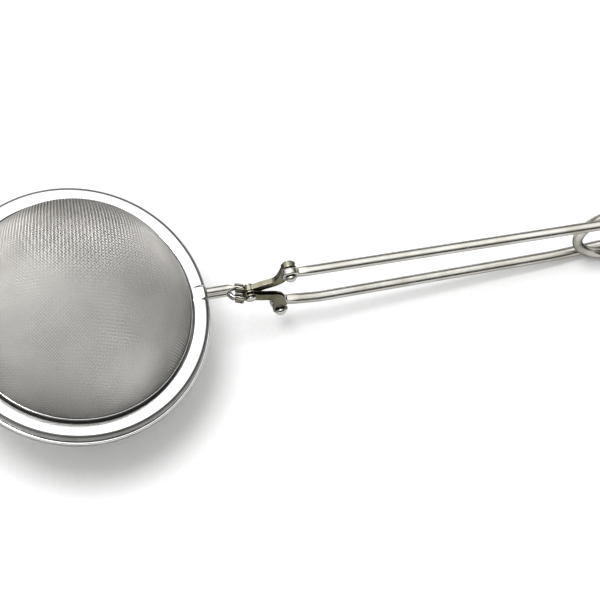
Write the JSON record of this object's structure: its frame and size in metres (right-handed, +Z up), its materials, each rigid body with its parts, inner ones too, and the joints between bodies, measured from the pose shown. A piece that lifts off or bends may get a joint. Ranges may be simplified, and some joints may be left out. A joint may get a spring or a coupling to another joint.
{
  "type": "tea strainer",
  "caption": "Snap tea strainer: woven-wire bowls that close into a ball, with a scissor hinge and a sprung wire handle that opens them when squeezed.",
  "frame": {"origin": "bottom centre of the part's box, on the table that the ball and the handle's coil rest on", "axes": "+X from the ball towards the handle's coil, +Y along the hinge pins, +Z up from the table"},
  "size_m": [0.1436, 0.052, 0.0444],
  "materials": {
    "wire_cloth": "woven stainless wire cloth, satin",
    "polished_rim": "pressed and polished stainless sheet",
    "pressed_steel": "folded stainless sheet and rivets, semi-bright",
    "spring_wire": "drawn stainless spring wire, bright"
  },
  "bodies": {
    "lower_half": {"lower_mesh_bowl": "wire_cloth", "lower_rim": "polished_rim", "lower_crimp_ring": "pressed_steel", "lower_stub_wire": "spring_wire", "lower_lever": "pressed_steel", "lower_arm_pin": "pressed_steel", "scissor_rivet": "pressed_steel"},
    "upper_half": {"upper_mesh_bowl": "wire_cloth", "upper_rim": "polished_rim", "upper_crimp_ring": "pressed_steel", "upper_stub_wire": "spring_wire", "upper_lever": "pressed_steel", "upper_arm_pin": "pressed_steel"},
    "lower_handle": {"lower_arm": "spring_wire", "handle_coil": "spring_wire"},
    "upper_handle": {"upper_arm": "spring_wire"}
  },
  "joints": [
    {"name": "scissor", "type": "hinge", "parent": "lower_half", "child": "upper_half", "pos_m": [-0.01165, -0.0012, 0.01831], "axis": [0, 1, 0], "range_deg": [0, 65], "stiffness_Nm_per_rad": 0.05, "springref_deg": -20.05},
    {"name": "lower_arm_pivot", "type": "hinge", "parent": "lower_half", "child": "lower_handle", "pos_m": [-0.00585, -0.0012, 0.0091], "axis": [0, 1, 0], "range_deg": [0, 37]},
    {"name": "handle_spring", "type": "hinge", "parent": "lower_handle", "child": "upper_handle", "pos_m": [0.06188, -0.0012, 0.00996], "axis": [0, 1, 0], "range_deg": [-8.5, 0]}
  ],
  "couplings": [
    {"joint": "lower_arm_pivot", "follows": "scissor", "ratio": 0.5629},
    {"joint": "handle_spring", "follows": "scissor", "ratio": -0.1258}
  ]
}
